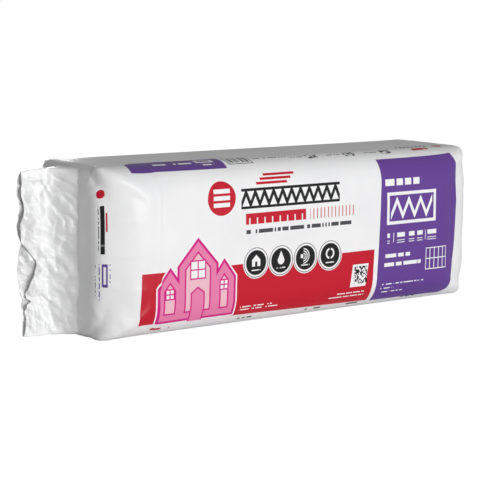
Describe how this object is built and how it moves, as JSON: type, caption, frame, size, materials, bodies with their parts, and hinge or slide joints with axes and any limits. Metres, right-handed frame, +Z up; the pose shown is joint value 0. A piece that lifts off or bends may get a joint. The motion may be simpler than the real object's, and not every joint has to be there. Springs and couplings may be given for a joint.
{
  "type": "insulation batt pack",
  "caption": "Pack of squeezed mineral wool insulation batts in a printed white film bag with a gathered, welded mouth.",
  "frame": {"origin": "centre of the flat underside that the pack rests on, midway along the batts", "axes": "+X along the pack, away from the gathered bag mouth; -Y towards the printed front; +Z up"},
  "size_m": [1.369, 0.3848, 0.4226],
  "materials": {
    "film": "satin",
    "mineral_wool": "matte"
  },
  "bodies": {
    "root": {"film_bag": "film", "batt_1": "mineral_wool", "batt_2": "mineral_wool", "batt_3": "mineral_wool", "batt_4": "mineral_wool", "batt_5": "mineral_wool", "batt_6": "mineral_wool", "batt_7": "mineral_wool", "batt_8": "mineral_wool"}
  },
  "joints": []
}
